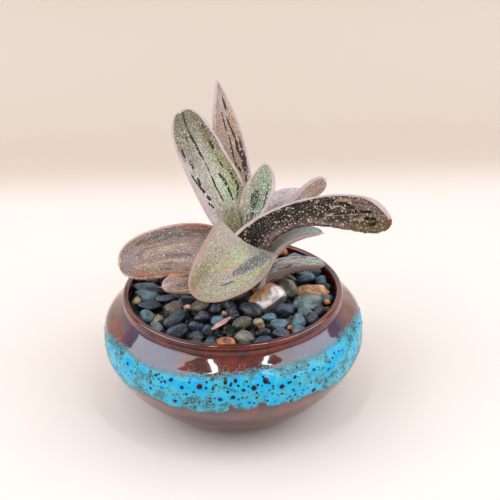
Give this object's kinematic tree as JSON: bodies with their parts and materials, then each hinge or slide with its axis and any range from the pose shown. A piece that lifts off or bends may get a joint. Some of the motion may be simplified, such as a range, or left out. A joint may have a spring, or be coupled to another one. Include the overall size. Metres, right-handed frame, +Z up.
{
  "type": "potted little warty gasteria",
  "caption": "Small succulent with thick, blunt, warty leaves with pale raised margins, growing through river pebbles in a round glazed bowl.",
  "frame": {"origin": "the pot's axis where its foot ring meets the table", "axes": "+Z up along the pot's axis; -Y is the front, where the front leaf hangs over; +X is the side that the long dark leaf arches to"},
  "size_m": [0.1312, 0.13, 0.1487],
  "materials": {
    "oxblood_glaze": "gloss",
    "potting_mix": "matte",
    "stem_bark": "matte",
    "skin_leaf_young": "satin",
    "skin_leaf_bud": "satin",
    "skin_leaf_right": "satin",
    "skin_leaf_back_left": "satin",
    "skin_leaf_front": "satin",
    "skin_leaf_tall": "satin",
    "skin_leaf_spoon": "satin",
    "skin_leaf_back_right": "satin",
    "skin_leaf_left": "satin",
    "skin_leaf_right_lower": "satin",
    "skin_leaf_low_right": "satin",
    "skin_leaf_low_left": "satin",
    "slate_gravel": "satin",
    "stone_quartz": "satin",
    "stone_rust": "satin",
    "stone_striped": "satin",
    "stone_green": "satin",
    "stone_rust_slab": "satin",
    "stone_pale": "satin"
  },
  "bodies": {
    "root": {"pot": "oxblood_glaze", "potting_mix": "potting_mix", "stem": "stem_bark", "leaf_young": "skin_leaf_young", "leaf_bud": "skin_leaf_bud", "leaf_right": "skin_leaf_right", "leaf_back_left": "skin_leaf_back_left", "leaf_front": "skin_leaf_front", "leaf_tall": "skin_leaf_tall", "leaf_spoon": "skin_leaf_spoon", "leaf_back_right": "skin_leaf_back_right", "leaf_left": "skin_leaf_left", "leaf_right_lower": "skin_leaf_right_lower", "leaf_low_right": "skin_leaf_low_right", "leaf_low_left": "skin_leaf_low_left", "gravel": "slate_gravel", "stone_quartz": "stone_quartz", "stone_rust": "stone_rust", "stone_striped": "stone_striped", "stone_green": "stone_green", "stone_rust_slab": "stone_rust_slab", "stone_pale": "stone_pale"}
  },
  "joints": []
}
